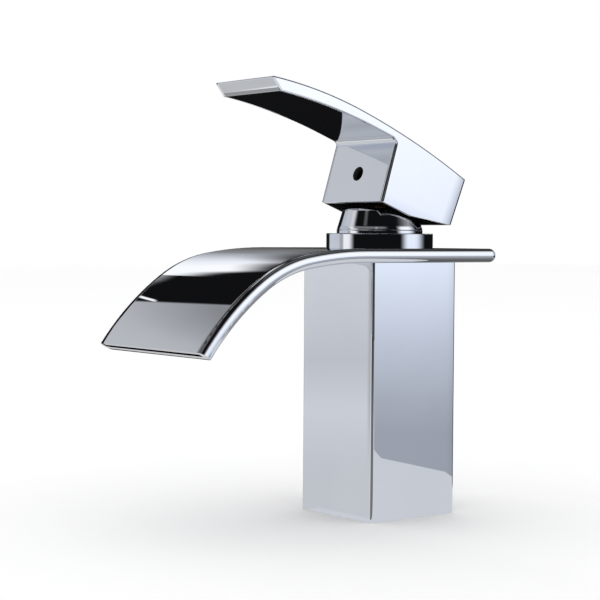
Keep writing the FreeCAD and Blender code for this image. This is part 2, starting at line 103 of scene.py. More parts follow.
def white_room():
    world = bpy.data.worlds.new("white_room")
    world.use_nodes = True
    tree = world.node_tree
    tree.nodes.clear()
    path = node(tree, "ShaderNodeLightPath")
    mirror = maths(tree, "MAXIMUM", path.outputs["Is Glossy Ray"], path.outputs["Is Transmission Ray"])
    seen = maths(tree, "MAXIMUM", path.outputs["Is Camera Ray"], mirror)
    soft = node(tree, "ShaderNodeBackground")
    soft.inputs["Strength"].default_value = SOFT_LIGHT
    white = node(tree, "ShaderNodeBackground")
    mix = node(tree, "ShaderNodeMixShader")
    out = node(tree, "ShaderNodeOutputWorld")
    for shade in (soft, white):
        shade.inputs["Color"].default_value = (1, 1, 1, 1)
    tree.links.new(seen, mix.inputs[0])
    tree.links.new(soft.outputs[0], mix.inputs[1])
    tree.links.new(white.outputs[0], mix.inputs[2])
    tree.links.new(mix.outputs[0], out.inputs["Surface"])
    return world


scene.world = white_room()
scene.view_settings.view_transform = "Standard"
print("white room, soft light", SOFT_LIGHT)

# %% [markdown]
# The floor is a wide pale sheet that takes the faucet's soft shadow.
# One large lamp high on the left gives the shadow its side.
# Both stay plain, because the mirror finish already shows everything that stands in the room.

# %% Floor and lamp
FLOOR_SIDE = 40.0
LAMP_POWER = 1.2
LAMP_SIDE = 1.2
LAMP_PLACE = Vector((-0.7, -0.8, 1.5))
FIBRE_SCALE = 300
PAPER_SHADES = ((0.975, 0.976, 0.978, 1), (0.99, 0.99, 0.992, 1))


def paper_floor():
    mesh = bpy.data.meshes.new("paper_floor")
    half = FLOOR_SIDE / 2
    corners = [(-half, -half, 0), (half, -half, 0), (half, half, 0), (-half, half, 0)]
    mesh.from_pydata(corners, [], [(0, 1, 2, 3)])
    floor = bpy.data.objects.new("paper_floor", mesh)
    scene.collection.objects.link(floor)
    paper = bpy.data.materials.new("white_paper")
    paper.use_nodes = True
    tree = paper.node_tree
    shader = tree.nodes["Principled BSDF"]
    shader.inputs["Roughness"].default_value = 0.9
    shader.inputs["Specular IOR Level"].default_value = 0.1
    fibres = node(tree, "ShaderNodeTexNoise")
    fibres.inputs["Scale"].default_value = FIBRE_SCALE
    ramp = node(tree, "ShaderNodeValToRGB")
    for stop, shade in zip(ramp.color_ramp.elements, PAPER_SHADES):
        stop.color = shade
    tree.links.new(fibres.outputs["Fac"], ramp.inputs[0])
    tree.links.new(ramp.outputs["Color"], shader.inputs["Base Color"])
    mesh.materials.append(paper)
    floor.visible_glossy = False
    return floor


def high_lamp():
    light = bpy.data.lights.new("high_lamp", "AREA")
    light.energy = LAMP_POWER
    light.size = LAMP_SIDE
    lamp = bpy.data.objects.new("high_lamp", light)
    lamp.location = LAMP_PLACE
    lamp.rotation_mode = "QUATERNION"
    lamp.rotation_quaternion = (-LAMP_PLACE).to_track_quat("-Z", "Y")
    lamp.visible_glossy = False
    scene.collection.objects.link(lamp)
    return lamp


floor = paper_floor()
lamp = high_lamp()
print("floor", [round(v, 2) for v in floor.dimensions], "lamp", [round(v, 2) for v in lamp.location])

# %% [markdown]
# A photographer shapes a mirror finish with cards: white ones for the bright bands, grey and black
# ones for the dark bands and the thin dark lines along the edges.
# Each card is a patch of a sphere round the faucet, given by its turn from the front and its height,
# both in degrees. Its tone runs from bottom to top, and each of its four edges fades over some degrees.
# A lean shifts it sideways as it rises.
# Only mirror rays see the cards, so they neither hide the faucet nor take light from it.

# %% Card patch
STUDIO_CENTRE = Vector((0, 0, 0.11))
PATCH_STEP = 3.0


def card_patch(name, turns, heights, reach, lean):
    columns = max(2, int((turns[1] - turns[0]) / PATCH_STEP))
    rows = max(2, int((heights[1] - heights[0]) / PATCH_STEP))
    mesh = bpy.data.meshes.new(name)
    points = []
    for row in range(rows + 1):
        rise = (heights[1] - heights[0]) * row / rows
        height = math.radians(heights[0] + rise)
        for column in range(columns + 1):
            turn = math.radians(turns[0] + (turns[1] - turns[0]) * column / columns + lean * rise)
            flat = math.cos(height)
            ray = Vector((math.sin(turn) * flat, -math.cos(turn) * flat, math.sin(height)))
            points.append(STUDIO_CENTRE + reach * ray)
    faces = []
    for row in range(rows):
        for column in range(columns):
            corner = row * (columns + 1) + column
            faces.append((corner, corner + 1, corner + columns + 2, corner + columns + 1))
    mesh.from_pydata(points, [], faces)
    spread = mesh.uv_layers.new(name="card")
    for loop in mesh.loops:
        row, column = divmod(loop.vertex_index, columns + 1)
        spread.data[loop.index].uv = (column / columns, row / rows)
    return mesh


print("card patches are drawn every", PATCH_STEP, "degrees")

# %% [markdown]
# The tone of a card is plain light, so its shader is an emission with no light falling on it.
# A colour ramp runs up the card, and smooth steps let its edges fade to nothing.

# %% Card tone
def faded(tree, place, first, last):
    low = node(tree, "ShaderNodeMapRange", interpolation_type="SMOOTHSTEP")
    high = node(tree, "ShaderNodeMapRange", interpolation_type="SMOOTHSTEP")
    for ramp, start, stop in ((low, 0, first), (high, 1, 1 - last)):
        tree.links.new(place, ramp.inputs["Value"])
        ramp.inputs["From Min"].default_value = start
        ramp.inputs["From Max"].default_value = stop
    return maths(tree, "MULTIPLY", low.outputs["Result"], high.outputs["Result"])


def card_tone(name, tones, across_fades, upward_fades):
    tone = bpy.data.materials.new(name)
    tone.use_nodes = True
    tree = tone.node_tree
    tree.nodes.clear()
    spread = node(tree, "ShaderNodeUVMap", uv_map="card")
    parts = node(tree, "ShaderNodeSeparateXYZ")
    tree.links.new(spread.outputs["UV"], parts.inputs[0])
    ramp = node(tree, "ShaderNodeValToRGB")
    stops = ramp.color_ramp.elements
    while len(stops) < len(tones):
        stops.new(0.5)
    for stop, (place, colour) in zip(stops, tones):
        stop.position = place
        stop.color = (*colour, 1)
    glow = node(tree, "ShaderNodeEmission")
    clear = node(tree, "ShaderNodeBsdfTransparent")
    mix = node(tree, "ShaderNodeMixShader")
    out = node(tree, "ShaderNodeOutputMaterial")
    across = faded(tree, parts.outputs["X"], *across_fades)
    upward = faded(tree, parts.outputs["Y"], *upward_fades)
    tree.links.new(parts.outputs["Y"], ramp.inputs[0])
    tree.links.new(ramp.outputs["Color"], glow.inputs["Color"])
    tree.links.new(maths(tree, "MULTIPLY", across, upward), mix.inputs[0])
    tree.links.new(clear.outputs[0], mix.inputs[1])
    tree.links.new(glow.outputs[0], mix.inputs[2])
    tree.links.new(mix.outputs[0], out.inputs["Surface"])
    return tone


def seen_in_mirrors_only(card):
    scene.collection.objects.link(card)
    card.visible_camera = False
    card.visible_diffuse = False
    card.visible_shadow = False


def studio_card(name, turns, heights, reach, tones, fades, lean=0.0):
    width = turns[1] - turns[0]
    rise = heights[1] - heights[0]
    places = [((height - heights[0]) / rise, colour) for height, colour in tones]
    left, right, low, high = fades
    mesh = card_patch(name, turns, heights, reach, lean)
    mesh.materials.append(card_tone(name, places, (left / width, right / width), (low / rise, high / rise)))
    card = bpy.data.objects.new(name, mesh)
    seen_in_mirrors_only(card)
    return card


print("a card's fades are left, right, low and high, in degrees")

# %% [markdown]
# Behind everything on the front, the right and the back is a dark room,
# so that chrome edges draw thin black lines.
# The bright cards stand before it. The window on the right lights the column's side and the handle's side,
# and it grows darker towards the floor. The window on the left lights the top of the spout.
# The grey card on the left front lights the column's front, the handle's front and the spout's fall.

# %% Dark room and bright cards
BLACK_CARD = (0.008, 0.008, 0.009)
BLACK = [(-90, BLACK_CARD), (90, BLACK_CARD)]
GREEN_SHARE = 0.3


def cool(level, blue=1.0):
    return (level, level * (1 + GREEN_SHARE * (blue - 1)), level * blue)


def tones(*stops):
    return [(height, cool(*shade)) for height, *shade in stops]


def even(level):
    return tones((-90, level), (90, level))


right_tones = tones((-12, 0.55, 1.17), (-7.5, 0.55, 1.17), (-6.3, 0.64, 1.17), (-4.9, 0.78, 1.19), (-3.5, 0.92, 1.20),
                    (-2.1, 1.09, 1.19), (-1, 1.25, 1.18), (1, 1.42, 1.12), (5, 1.6, 1.06), (32, 1.6))
left_tones = tones((1, 0.05), (8, 0.2), (10, 0.27, 1.1), (14, 0.45, 1.1), (19, 0.74, 1.1), (24, 1.15, 1.06),
                   (28, 1.42), (33, 1.5))
grey_tones = tones((-60, 0.5), (-42, 0.55), (-37, 1.5), (-34.6, 0.79), (-32, 0.78), (-26, 0.95), (-9.2, 0.87, 1.04),
                   (-6.6, 1.0, 1.05), (-4.7, 0.84, 1.05), (-1.2, 1.0, 1.05), (0.2, 0.82, 1.15), (3, 0.76, 1.2),
                   (6, 0.68, 1.2), (15, 0.68, 1.2), (20, 0.83, 1.06), (24, 0.83, 1.06), (30, 0.74, 1.04),
                   (31.2, 0.7, 1.04), (33, 0.56, 1.05), (34.4, 0.45, 1.05), (35.2, 0.37, 1.05), (40, 0.37, 1.05))
high_tones = tones((36, 0.37), (40, 0.34), (44, 0.25), (48, 0.14), (53, 0.05), (58, 0.02), (80, 0.02))
edge_tones = tones((-14, 0.3), (-7, 0.24), (-5, 0.12), (-2, 0.07), (0, 0.07))
bright_cards = [
    studio_card("dark_room", (-30, 236), (-14, 84), 7.0, BLACK, (12, 10, 3, 6)),
    studio_card("right_window", (94, 164.5), (-14, 32), 6.0, right_tones, (21, 34, 1, 20)),
    studio_card("left_window", (-142, -96), (1, 33), 5.9, left_tones, (8, 4, 2, 2)),
    studio_card("left_front_grey", (-92, -42), (-70, 40), 5.8, grey_tones, (3, 4, 12, 1)),
    studio_card("high_grey", (-92, -10), (35.5, 80), 5.75, high_tones, (3, 4, 1, 5)),
    studio_card("front_strip", (-46, -5.3), (-12, 20), 5.7, even(1.4), (16, 16.7, 6, 8)),
    studio_card("edge_grey", (-14, 92), (-14, -0.7), 5.65, edge_tones, (10, 10, 2, 0.8)),
]
print(len(bright_cards), "large cards")

# %% [markdown]
# Windows high above, behind and low in front fill the room for the faces that the camera does not see,
# so that no chrome face goes plain black when the faucet is turned.

# %% Fill windows
fills = [
    studio_card("top_window", (-180, 180), (75, 89.5), 5.6, even(0.85), (0.01, 0.01, 6, 0.01)),
    studio_card("high_front_window", (-22, 22), (48, 79), 5.55, even(0.4), (13, 13, 7, 6)),
    studio_card("right_front_window", (26, 62), (34, 56), 5.52, even(0.28), (13, 13, 7, 7)),
    studio_card("front_window", (-36, 76), (3, 30), 5.5, even(0.28), (18, 20, 9, 11)),
    studio_card("back_window", (166, 188), (6, 32), 5.4, even(0.6), (6, 6, 5, 6)),
    studio_card("back_left_window", (186, 222), (6, 29), 5.3, tones((6, 0.9), (29, 0.6)), (8, 8, 4, 5)),
    studio_card("high_left_window", (188, 252), (55, 72), 5.2, even(0.8), (8, 8, 5, 6)),
    studio_card("high_right_grey", (92, 176), (36, 66), 5.1, even(0.13), (6, 6, 5, 4)),
]
print(len(fills), "fill windows")

# %% [markdown]
# Smaller flags and strips come last and nearest: the black ones draw the bands over the spout's bend,
# the thin outline of its left edge and its lip, and the dark lines on the collar and the cap.

# %% Flags and strips
floor_tones = tones((-75, 0.03), (-52, 0.1), (-44, 0.18), (-30, 0.34), (-13, 0.4))
flags = [
    studio_card("lip_grey", (-118, -96), (-36, -16), 4.85, even(0.75), (2, 6, 4, 4)),
    studio_card("tip_grey", (-102, -83), (-48, -30), 4.83, even(0.45), (4, 3, 3, 3)),
    studio_card("left_level_flag", (-118, -82), (-12, 14), 4.8, BLACK, (6, 10, 3, 3)),
    studio_card("far_level_flag", (-150, -116), (-5, 4), 4.7, BLACK, (8, 4, 2, 2)),
    studio_card("left_high_flag", (-144, -88), (30.2, 58), 4.6, BLACK, (8, 0.9, 1.8, 5), -0.22),
    studio_card("bend_wisp", (-91.8, -90.5), (31.85, 32.8), 4.55, even(1.6), (0.5, 0.5, 0.25, 0.25), 2.0),
    studio_card("window_side_low", (-160, -127.4), (6, 25), 4.54, BLACK, (8, 4, 3, 1), 0.587),
    studio_card("window_side_high", (-150, -118), (23.5, 34), 4.52, BLACK, (8, 4, 1, 1), 1.42),
    studio_card("rim_flag", (-124.5, -90), (8, 26.5), 4.51, BLACK, (2, 3, 2, 0.8), 0.87),
    studio_card("lip_flag", (-132, -107), (-21.5, -6), 4.508, BLACK, (3, 2, 1.2, 3)),
    studio_card("rim_high_flag", (-104, -84), (24.5, 30.1), 4.505, BLACK, (1.5, 2, 0.5, 0.5)),
    studio_card("cap_flag", (-38, 4), (23, 44), 4.5, BLACK, (16, 4, 3, 6)),
    studio_card("collar_strip", (-48, -33), (-10, 12), 4.4, even(0.62), (4, 4, 4, 4)),
    studio_card("cap_slit", (36, 46), (4, 26), 4.3, even(0.5), (4, 4, 4, 6)),
    studio_card("cap_streak", (-3, 14), (29, 48), 4.25, even(0.17), (7, 7, 4, 8)),
    studio_card("back_floor_grey", (116, 232), (-75, -13), 4.2, floor_tones, (12, 10, 6, 6)),
]
print(len(flags), "flags and strips")

# %% [markdown]
# The faucet stands near the straight back edge of a white board, and a dark table begins behind it on the left.
# The board shows in the lower part of the column's side, where its edge crosses the chrome as a slanting line.
# The table shows in the underside of the lever.

# %% Board and table
BOARD_LEFT = -0.02
BOARD_FRONT = -0.03
BOARD_REACH = 1.2
BOARD_SLOPE = 0.126
BOARD_BACK = 0.0878
TABLE_START = Vector((-0.21, 0.09))
TABLE_WAY = Vector((-0.875, 0.483))
TABLE_LENGTH = 0.62
TABLE_HALF = 0.15
TABLE_FADES = ((0.12, 0.15), (0.35, 0.35))
SHARP = (0.0005, 0.0005)


def floor_card(name, corners, tone, across_fades, upward_fades):
    mesh = bpy.data.meshes.new(name)
    mesh.from_pydata([(*corner, 0) for corner in corners], [], [(0, 1, 2, 3)])
    spread = mesh.uv_layers.new(name="card")
    for loop, place in zip(mesh.loops, ((0, 0), (1, 0), (1, 1), (0, 1))):
        spread.data[loop.index].uv = place
    mesh.materials.append(card_tone(name, [(0, tone), (1, tone)], across_fades, upward_fades))
    card = bpy.data.objects.new(name, mesh)
    seen_in_mirrors_only(card)
    return card


board_backs = [(x, BOARD_SLOPE * x + BOARD_BACK) for x in (BOARD_REACH, BOARD_LEFT)]
board_corners = [(BOARD_LEFT, BOARD_FRONT), (BOARD_REACH, BOARD_FRONT), *board_backs]
board = floor_card("white_board", board_corners, cool(0.95, 1.06), SHARP, SHARP)
table_side = Vector((-TABLE_WAY.y, TABLE_WAY.x)) * TABLE_HALF
table_end = TABLE_START + TABLE_WAY * TABLE_LENGTH
table_corners = [TABLE_START + table_side, table_end + table_side, table_end - table_side, TABLE_START - table_side]
table = floor_card("dark_table", table_corners, BLACK_CARD, *TABLE_FADES)
print("board", [round(v, 2) for v in board.dimensions], "table", [round(v, 2) for v in table.dimensions])

# %% [markdown]
# Several finishes share the same small effects, so each effect is a node group with its own inputs.
# Polishing leaves long waves in a metal and rounds it off towards its edges, hands leave a thin haze,
# a lathe leaves fine rings, and a mould leaves a fine grain.

# %% Shared effects
def effect(name, inputs, outputs):
    group = bpy.data.node_groups.new(name, "ShaderNodeTree")
    for label, value in inputs:
        socket = group.interface.new_socket(name=label, in_out="INPUT", socket_type="NodeSocketFloat")
        socket.default_value = value
    for label in outputs:
        group.interface.new_socket(name=label, in_out="OUTPUT", socket_type="NodeSocketFloat")
    return group, node(group, "NodeGroupInput"), node(group, "NodeGroupOutput")


def cloudy(name, scale, detail, low, high):
    group, given, result = effect(name, [("Scale", scale), ("Low", low), ("High", high)], ["Mask"])
    place = node(group, "ShaderNodeTexCoord")
    noise = node(group, "ShaderNodeTexNoise")
    noise.inputs["Detail"].default_value = detail
    spread = node(group, "ShaderNodeMapRange", interpolation_type="SMOOTHSTEP")
    group.links.new(place.outputs["Object"], noise.inputs["Vector"])
    group.links.new(given.outputs["Scale"], noise.inputs["Scale"])
    group.links.new(noise.outputs["Fac"], spread.inputs["Value"])
    group.links.new(given.outputs["Low"], spread.inputs["From Min"])
    group.links.new(given.outputs["High"], spread.inputs["From Max"])
    group.links.new(spread.outputs["Result"], result.inputs["Mask"])
    return group


def lathe_rings():
    group, given, result = effect("lathe_rings", [("Scale", 900.0), ("Waver", 0.6)], ["Mask"])
    place = node(group, "ShaderNodeTexCoord")
    rings = node(group, "ShaderNodeTexWave", wave_type="RINGS", rings_direction="Z")
    rings.inputs["Detail"].default_value = 2
    group.links.new(place.outputs["Object"], rings.inputs["Vector"])
    group.links.new(given.outputs["Scale"], rings.inputs["Scale"])
    group.links.new(given.outputs["Waver"], rings.inputs["Distortion"])
    group.links.new(rings.outputs["Fac"], result.inputs["Mask"])
    return group


def edge_roll():
    inputs = [("Across", 0.0), ("Edge", 0.02), ("Width", 0.005), ("Drop", 0.0001)]
    group, given, result = effect("edge_roll", inputs, ["Height"])
    start = maths(group, "SUBTRACT", given.outputs["Edge"], given.outputs["Width"])
    past = maths(group, "MAXIMUM", maths(group, "SUBTRACT", given.outputs["Across"], start), 0.0)
    way = maths(group, "MINIMUM", maths(group, "DIVIDE", past, given.outputs["Width"]), 1.0)
    fall = maths(group, "MULTIPLY", maths(group, "MULTIPLY", way, way), given.outputs["Drop"])
    group.links.new(maths(group, "MULTIPLY", fall, -1.0), result.inputs["Height"])
    return group


effects = {
    "polish_waves": cloudy("polish_waves", 40.0, 1.0, 0.0, 1.0),
    "hand_haze": cloudy("hand_haze", 26.0, 5.0, 0.38, 0.72),
    "mould_grain": cloudy("mould_grain", 2600.0, 3.0, 0.2, 0.8),
    "lathe_rings": lathe_rings(),
    "edge_roll": edge_roll(),
}
print("effects", sorted(effects))

# %% [markdown]
# Each finish is a Principled shader with its plain numbers set on its own sockets.
# The helper places an effect group, lets it move the colour between two shades,
# lets it move the roughness between two values, and gives its relief to a Bump node.

# %% Finish helper
def placed(tree, name, **values):
    made = node(tree, "ShaderNodeGroup", node_tree=effects[name])
    for label, value in values.items():
        made.inputs[label].default_value = value
    return made.outputs[0]


def shaded(tree, mask, first, second):
    ramp = node(tree, "ShaderNodeValToRGB")
    ramp.color_ramp.elements[0].color = (*first, 1)
    ramp.color_ramp.elements[1].color = (*second, 1)
    tree.links.new(mask, ramp.inputs[0])
    return ramp.outputs["Color"]


def between(tree, mask, low, high):
    made = node(tree, "ShaderNodeMapRange")
    tree.links.new(mask, made.inputs["Value"])
    made.inputs["To Min"].default_value = low
    made.inputs["To Max"].default_value = high
    return made.outputs["Result"]


def relief(tree, mask, depth):
    made = node(tree, "ShaderNodeBump")
    made.inputs["Distance"].default_value = depth
    tree.links.new(mask, made.inputs["Height"])
    return made.outputs["Normal"]


def finish(name, metallic, colours, colour_mask, roughness, rough_mask, depth, height_mask):
    made = bpy.data.materials.new(name)
    made.use_nodes = True
    tree = made.node_tree
    shader = tree.nodes["Principled BSDF"]
    shader.inputs["Metallic"].default_value = metallic
    masks = (colour_mask, rough_mask, height_mask)
    clouds, dullness, height = [placed(tree, label, **values) for label, values in masks]
    tree.links.new(shaded(tree, clouds, *colours), shader.inputs["Base Color"])
    tree.links.new(between(tree, dullness, *roughness), shader.inputs["Roughness"])
    tree.links.new(relief(tree, height, depth), shader.inputs["Normal"])
    return made


print("a finish takes two colours, two roughness values and a relief depth in metres")

# %% [markdown]
# Brass, steel, plastic, ceramic and rubber are the hidden pieces' own materials.
# Turned metal gets fine rings, and moulded pieces get a fine grain,
# so that they look right when the part is taken apart.

# %% Plain finishes
RINGS = ("lathe_rings", {})
FINE_RINGS = ("lathe_rings", {"Scale": 1500.0})
GRAIN = ("mould_grain", {})
FINE_GRAIN = ("mould_grain", {"Scale": 5000.0})
COARSE_GRAIN = ("mould_grain", {"Scale": 1800.0})


def haze(scale):
    return ("hand_haze", {"Scale": scale})


BRASS = finish("turned_brass", metallic=1.0, colours=[(0.66, 0.50, 0.25), (0.74, 0.60, 0.35)], colour_mask=haze(90.0),
               roughness=(0.22, 0.38), rough_mask=RINGS, depth=0.02 * MM, height_mask=RINGS)
STEEL = finish("bare_steel", metallic=1.0, colours=[(0.54, 0.54, 0.56), (0.63, 0.63, 0.65)], colour_mask=haze(200.0),
               roughness=(0.2, 0.36), rough_mask=FINE_RINGS, depth=0.01 * MM, height_mask=FINE_RINGS)
BLACK_STEEL = finish("black_oxide_steel", metallic=1.0, colours=[(0.02, 0.02, 0.022), (0.045, 0.045, 0.048)],
                     colour_mask=haze(200.0), roughness=(0.4, 0.55), rough_mask=GRAIN,
                     depth=0.01 * MM, height_mask=GRAIN)
PLASTIC = finish("moulded_plastic", metallic=0.0, colours=[(0.80, 0.80, 0.77), (0.87, 0.87, 0.85)],
                 colour_mask=haze(120.0), roughness=(0.38, 0.52), rough_mask=GRAIN, depth=0.01 * MM, height_mask=GRAIN)
CERAMIC = finish("ground_ceramic", metallic=0.0, colours=[(0.90, 0.89, 0.86), (0.94, 0.93, 0.90)],
                 colour_mask=haze(150.0), roughness=(0.12, 0.22), rough_mask=FINE_GRAIN,
                 depth=0.003 * MM, height_mask=FINE_GRAIN)
RUBBER = finish("black_rubber", metallic=0.0, colours=[(0.022, 0.022, 0.023), (0.045, 0.045, 0.046)],
                colour_mask=haze(160.0), roughness=(0.6, 0.8), rough_mask=COARSE_GRAIN,
                depth=0.03 * MM, height_mask=COARSE_GRAIN)
print("plain finishes", [made.name for made in (BRASS, STEEL, BLACK_STEEL, PLASTIC, CERAMIC, RUBBER)])

# %% [markdown]
# Chrome plate is a thin mirror layer on polished brass. It gives back about three fifths of the light,
# a little more of the blue. The metal under it is never quite flat, so mirror images bend very slightly.
# A polishing wheel also takes a little more off near an edge. A bevel modifier would change the fixed solids,
# so this roll is drawn as relief: a height that falls with the square of the way past a line,
# which makes its slope grow evenly up to the edge. The widths and slopes are set from the photograph.

# %% Chrome with rolled edges
LIFT = next(joint for joint in frame["record"]["behaviour"]["joints"] if joint["name"] == "handle_lift")


def piece_axes(tree, turned):
    place = node(tree, "ShaderNodeTexCoord").outputs["Object"]
    if turned:
        lowered = node(tree, "ShaderNodeVectorRotate", rotation_type="X_AXIS")
        lowered.inputs["Center"].default_value = LIFT["pos_m"]
        lowered.inputs["Angle"].default_value = math.radians(LIFT["range_deg"][1])
        tree.links.new(place, lowered.inputs["Vector"])
        place = lowered.outputs["Vector"]
    axes = node(tree, "ShaderNodeSeparateXYZ")
    tree.links.new(place, axes.inputs[0])
    return axes.outputs["X"], axes.outputs["Y"], axes.outputs["Z"]


def rolled(tree, across, edge, width, slope):
    roll = node(tree, "ShaderNodeGroup", node_tree=effects["edge_roll"])
    tree.links.new(across, roll.inputs["Across"])
    roll.inputs["Edge"].default_value = edge
    roll.inputs["Width"].default_value = width
    roll.inputs["Drop"].default_value = math.tan(math.radians(slope)) * width / 2
    return roll.outputs["Height"]


def add_relief(tree, heights):
    shader = tree.nodes["Principled BSDF"]
    total = heights[0]
    for height in heights[1:]:
        total = maths(tree, "ADD", total, height)
    bump = node(tree, "ShaderNodeBump")
    bump.inputs["Distance"].default_value = 1.0
    tree.links.new(total, bump.inputs["Height"])
    tree.links.new(shader.inputs["Normal"].links[0].from_socket, bump.inputs["Normal"])
    tree.links.new(bump.outputs["Normal"], shader.inputs["Normal"])


def chrome_plate(name):
    return finish(name, metallic=1.0, colours=[(0.58, 0.60, 0.637), (0.60, 0.62, 0.653)],
                  colour_mask=("hand_haze", {}), roughness=(0.012, 0.03), rough_mask=("hand_haze", {"Scale": 60.0}),
                  depth=0.003 * MM, height_mask=("polish_waves", {}))


CHROME = chrome_plate("chrome_plate")
print("chrome plate, handle lowered by", LIFT["range_deg"][1], "degrees for its own axes")

# %% [markdown]
# A roll belongs to one edge of one face, so it needs to know where it is.
# These small helpers measure the way along a slanting line, tell one side of a value from the other,
# fade a roll out between two places, and join several such masks into one.

# %% Places on a piece
def opposite(tree, place):
    return maths(tree, "MULTIPLY", place, -1.0)


def along(tree, first, second, way, start):
    parts = [maths(tree, "MULTIPLY", maths(tree, "SUBTRACT", place, base), step)
             for place, base, step in zip((first, second), start, way)]
    return maths(tree, "ADD", *parts)


def distance(tree, first, second):
    squares = [maths(tree, "MULTIPLY", side, side) for side in (first, second)]
    return maths(tree, "SQRT", maths(tree, "ADD", *squares))


def less(tree, first, second):
    return maths(tree, "LESS_THAN", first, second)


def share(tree, place, whole, nothing):
    fade = node(tree, "ShaderNodeMapRange", interpolation_type="SMOOTHSTEP")
    tree.links.new(place, fade.inputs["Value"])
    fade.inputs["From Min"].default_value = nothing
    fade.inputs["From Max"].default_value = whole
    return fade.outputs["Result"]


def all_of(tree, masks):
    total = masks[0]
    for mask in masks[1:]:
        total = maths(tree, "MULTIPLY", total, mask)
    return total


print("places are in metres, and a roll is its edge, its width and its slope in degrees")

# %% [markdown]
# The column is polished on all four sides, so its flat faces fall off a little towards the upright edges.
# The mirror image of the board's edge bends there.

# %% Column chrome
COLUMN_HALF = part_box("body_column")[1][0]
COLUMN_ROLL = (COLUMN_HALF, 5 * MM, 3.0)


def column_chrome():
    made = chrome_plate("column_chrome")
    tree = made.node_tree
    x, y, _ = piece_axes(tree, False)
    add_relief(tree, [rolled(tree, maths(tree, "ABSOLUTE", across), *COLUMN_ROLL) for across in (x, y)])
    return made


COLUMN_CHROME = column_chrome()
print("column rolled over its last", round(COLUMN_ROLL[1] / MM, 1), "mm of", round(COLUMN_HALF / MM, 1))

# %% [markdown]
# The spout is a wide bent plate made of two skins. Relief along its long edges ends the plate
# in a thin dark line on both sides. The solids are symmetric and this relief is not: it follows the outlines
# seen from the photograph's side, is wider and steeper on the right, and stops short of the edge on the left.
# The lower skin's lip has the same kind of relief along its bottom edge.

# %% Spout chrome
SPOUT_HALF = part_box("spout_upper_shell")[1][0]
RIGHT_ROLL = (SPOUT_HALF, 3.9 * MM, 34.0)
LEFT_ROLL = (SPOUT_HALF - 2.0 * MM, 2.1 * MM, 15.0)
LIP_FRONT = (-112.65 * MM, 71.79 * MM)
LIP_WAY = (0.869, -0.494)
LIP_ROLL = (2.46 * MM, 1.3 * MM, 15.0)
LIP_TOP = 72.3 * MM


def spout_chrome():
    made = chrome_plate("spout_chrome")
    tree = made.node_tree
    x, _, _ = piece_axes(tree, False)
    add_relief(tree, [rolled(tree, x, *RIGHT_ROLL), rolled(tree, opposite(tree, x), *LEFT_ROLL)])
    return made


def lip_chrome():
    made = chrome_plate("lip_chrome")
    tree = made.node_tree
    _, y, z = piece_axes(tree, False)
    bottom = rolled(tree, along(tree, y, z, LIP_WAY, LIP_FRONT), *LIP_ROLL)
    add_relief(tree, [maths(tree, "MULTIPLY", bottom, less(tree, z, LIP_TOP))])
    return made


SPOUT_CHROME = spout_chrome()
LIP_CHROME = lip_chrome()
print("spout", round(2 * SPOUT_HALF / MM, 1), "mm wide, lip rolled", round(LIP_TOP / MM, 1), "mm above the deck")

# %% [markdown]
# The cap over the cartridge is a cone on a low band. Where the two meet, relief softens the cone's foot,
# which catches a thin bright line, and the band's top edge, which stays dark.

# %% Cap chrome
CAP_BAND = 1.5 * MM
CAP_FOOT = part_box("collar_ring")[1][2] + CAP_BAND
CONE_ROLL = (-CAP_FOOT, 1.7 * MM, 17.0)
BAND_ROLL = (CAP_FOOT, 0.5 * MM, 35.0)


def cap_chrome():
    made = chrome_plate("cap_chrome")
    tree = made.node_tree
    _, _, z = piece_axes(tree, False)
    add_relief(tree, [rolled(tree, opposite(tree, z), *CONE_ROLL), rolled(tree, z, *BAND_ROLL)])
    return made


CAP_CHROME = cap_chrome()
print("cap softened", round(CAP_FOOT / MM, 1), "mm above the deck")

# %% [markdown]
# The handle is a hollow casting. Inside, and in the small hole for the key, it keeps the dull skin of the mould,
# painted near black as painted shade for the hollow and the hole.
# A second material on the inner faces would need the mesh to be changed, so masks tell the inside from the outside.
# They are a box and a round hole in the handle's own axes, which are those of the lowered handle.

# %% Handle inside
CAVITY_HALF = 17.9 * MM
CAVITY_FRONT = -17.5 * MM
CAVITY_BACK = 18.8 * MM
CAVITY_TOP = 149.65 * MM
CAVITY_SLOPE = 0.072
KEY_HEIGHT = 136.7 * MM
KEY_RADIUS = 3.1 * MM
# near black: the mould's dull skin, plus painted shade for the inside of the hollow handle and the key hole
CAST_SKIN_AND_PAINTED_SHADE = (0.02, 0.02, 0.021)
CAST_ROUGHNESS = 0.7


def cavity(tree, x, y, z):
    roof = maths(tree, "ADD", z, maths(tree, "MULTIPLY", y, CAVITY_SLOPE))
    behind_front = maths(tree, "GREATER_THAN", y, CAVITY_FRONT)
    return all_of(tree, [less(tree, maths(tree, "ABSOLUTE", x), CAVITY_HALF), behind_front,
                         less(tree, y, CAVITY_BACK), less(tree, roof, CAVITY_TOP)])


def key_hole(tree, x, y, z):
    far = distance(tree, x, maths(tree, "SUBTRACT", z, KEY_HEIGHT))
    return all_of(tree, [less(tree, far, KEY_RADIUS), less(tree, y, 0.0)])


# paints the dull skin, near black as painted shade, wherever the mask finds the inside or the key hole
def dull_skin_and_painted_shade_where(tree, shaded_inside):
    shader = tree.nodes["Principled BSDF"]
    for label, skin_and_shade in (("Base Color", (*CAST_SKIN_AND_PAINTED_SHADE, 1)), ("Roughness", CAST_ROUGHNESS), ("Metallic", 0.0)):
        socket = shader.inputs[label]
        mix = node(tree, "ShaderNodeMix", data_type="RGBA" if socket.type == "RGBA" else "FLOAT")
        plated, dull_and_shaded = [end for end in mix.inputs if end.type == socket.type][-2:]
        if socket.is_linked:
            tree.links.new(socket.links[0].from_socket, plated)
        else:
            plated.default_value = socket.default_value
        dull_and_shaded.default_value = skin_and_shade
        tree.links.new(shaded_inside, mix.inputs[0])
        tree.links.new(next(end for end in mix.outputs if end.type == socket.type), socket)


print("hollow", round(2 * CAVITY_HALF / MM, 1), "mm wide, key hole", round(2 * KEY_RADIUS / MM, 1), "mm")

